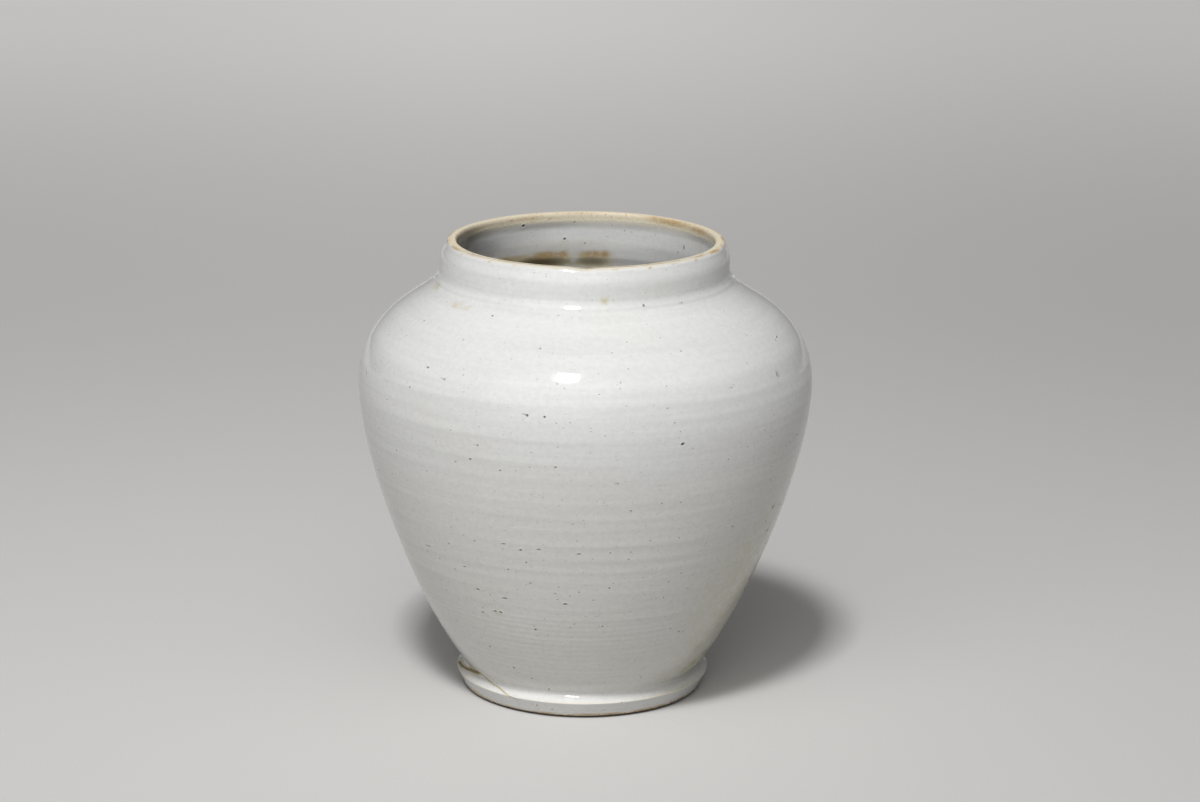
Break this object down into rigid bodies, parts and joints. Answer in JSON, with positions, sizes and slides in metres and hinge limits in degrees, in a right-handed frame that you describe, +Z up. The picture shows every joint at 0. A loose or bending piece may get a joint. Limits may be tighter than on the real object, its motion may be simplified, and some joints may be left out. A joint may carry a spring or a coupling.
{
  "type": "porcelain jar",
  "caption": "White glazed porcelain jar with a swelling shoulder, low neck, bare clay lip and flanged foot ring; stands on its foot and holds flowers, water or dry goods.",
  "frame": {"origin": "centre of the foot ring on the surface that the jar stands on", "axes": "+Z up along the jar's axis; -Y towards the viewer of the picture; +X to the viewer's right"},
  "size_m": [0.2122, 0.2122, 0.215],
  "materials": {
    "foot_glaze": "grey-white transparent glaze, thin and yellowish on the flange's edge, with a bare orange-brown line where the ring stands",
    "bowl_glaze": "glossy grey-white porcelain glaze over fine throwing rings, with small iron specks and pinholes",
    "shoulder_glaze": "glossy cool white porcelain glaze with faint rings, iron specks, pinholes and a few yellow stains",
    "neck_glaze": "glossy cool white glaze outside and bluish grey inside, wiped off the lip, which is bare cream to orange clay"
  },
  "bodies": {
    "root": {"foot_ring": "foot_glaze", "lower_body": "bowl_glaze", "upper_body": "shoulder_glaze", "neck_collar": "neck_glaze"}
  },
  "joints": []
}
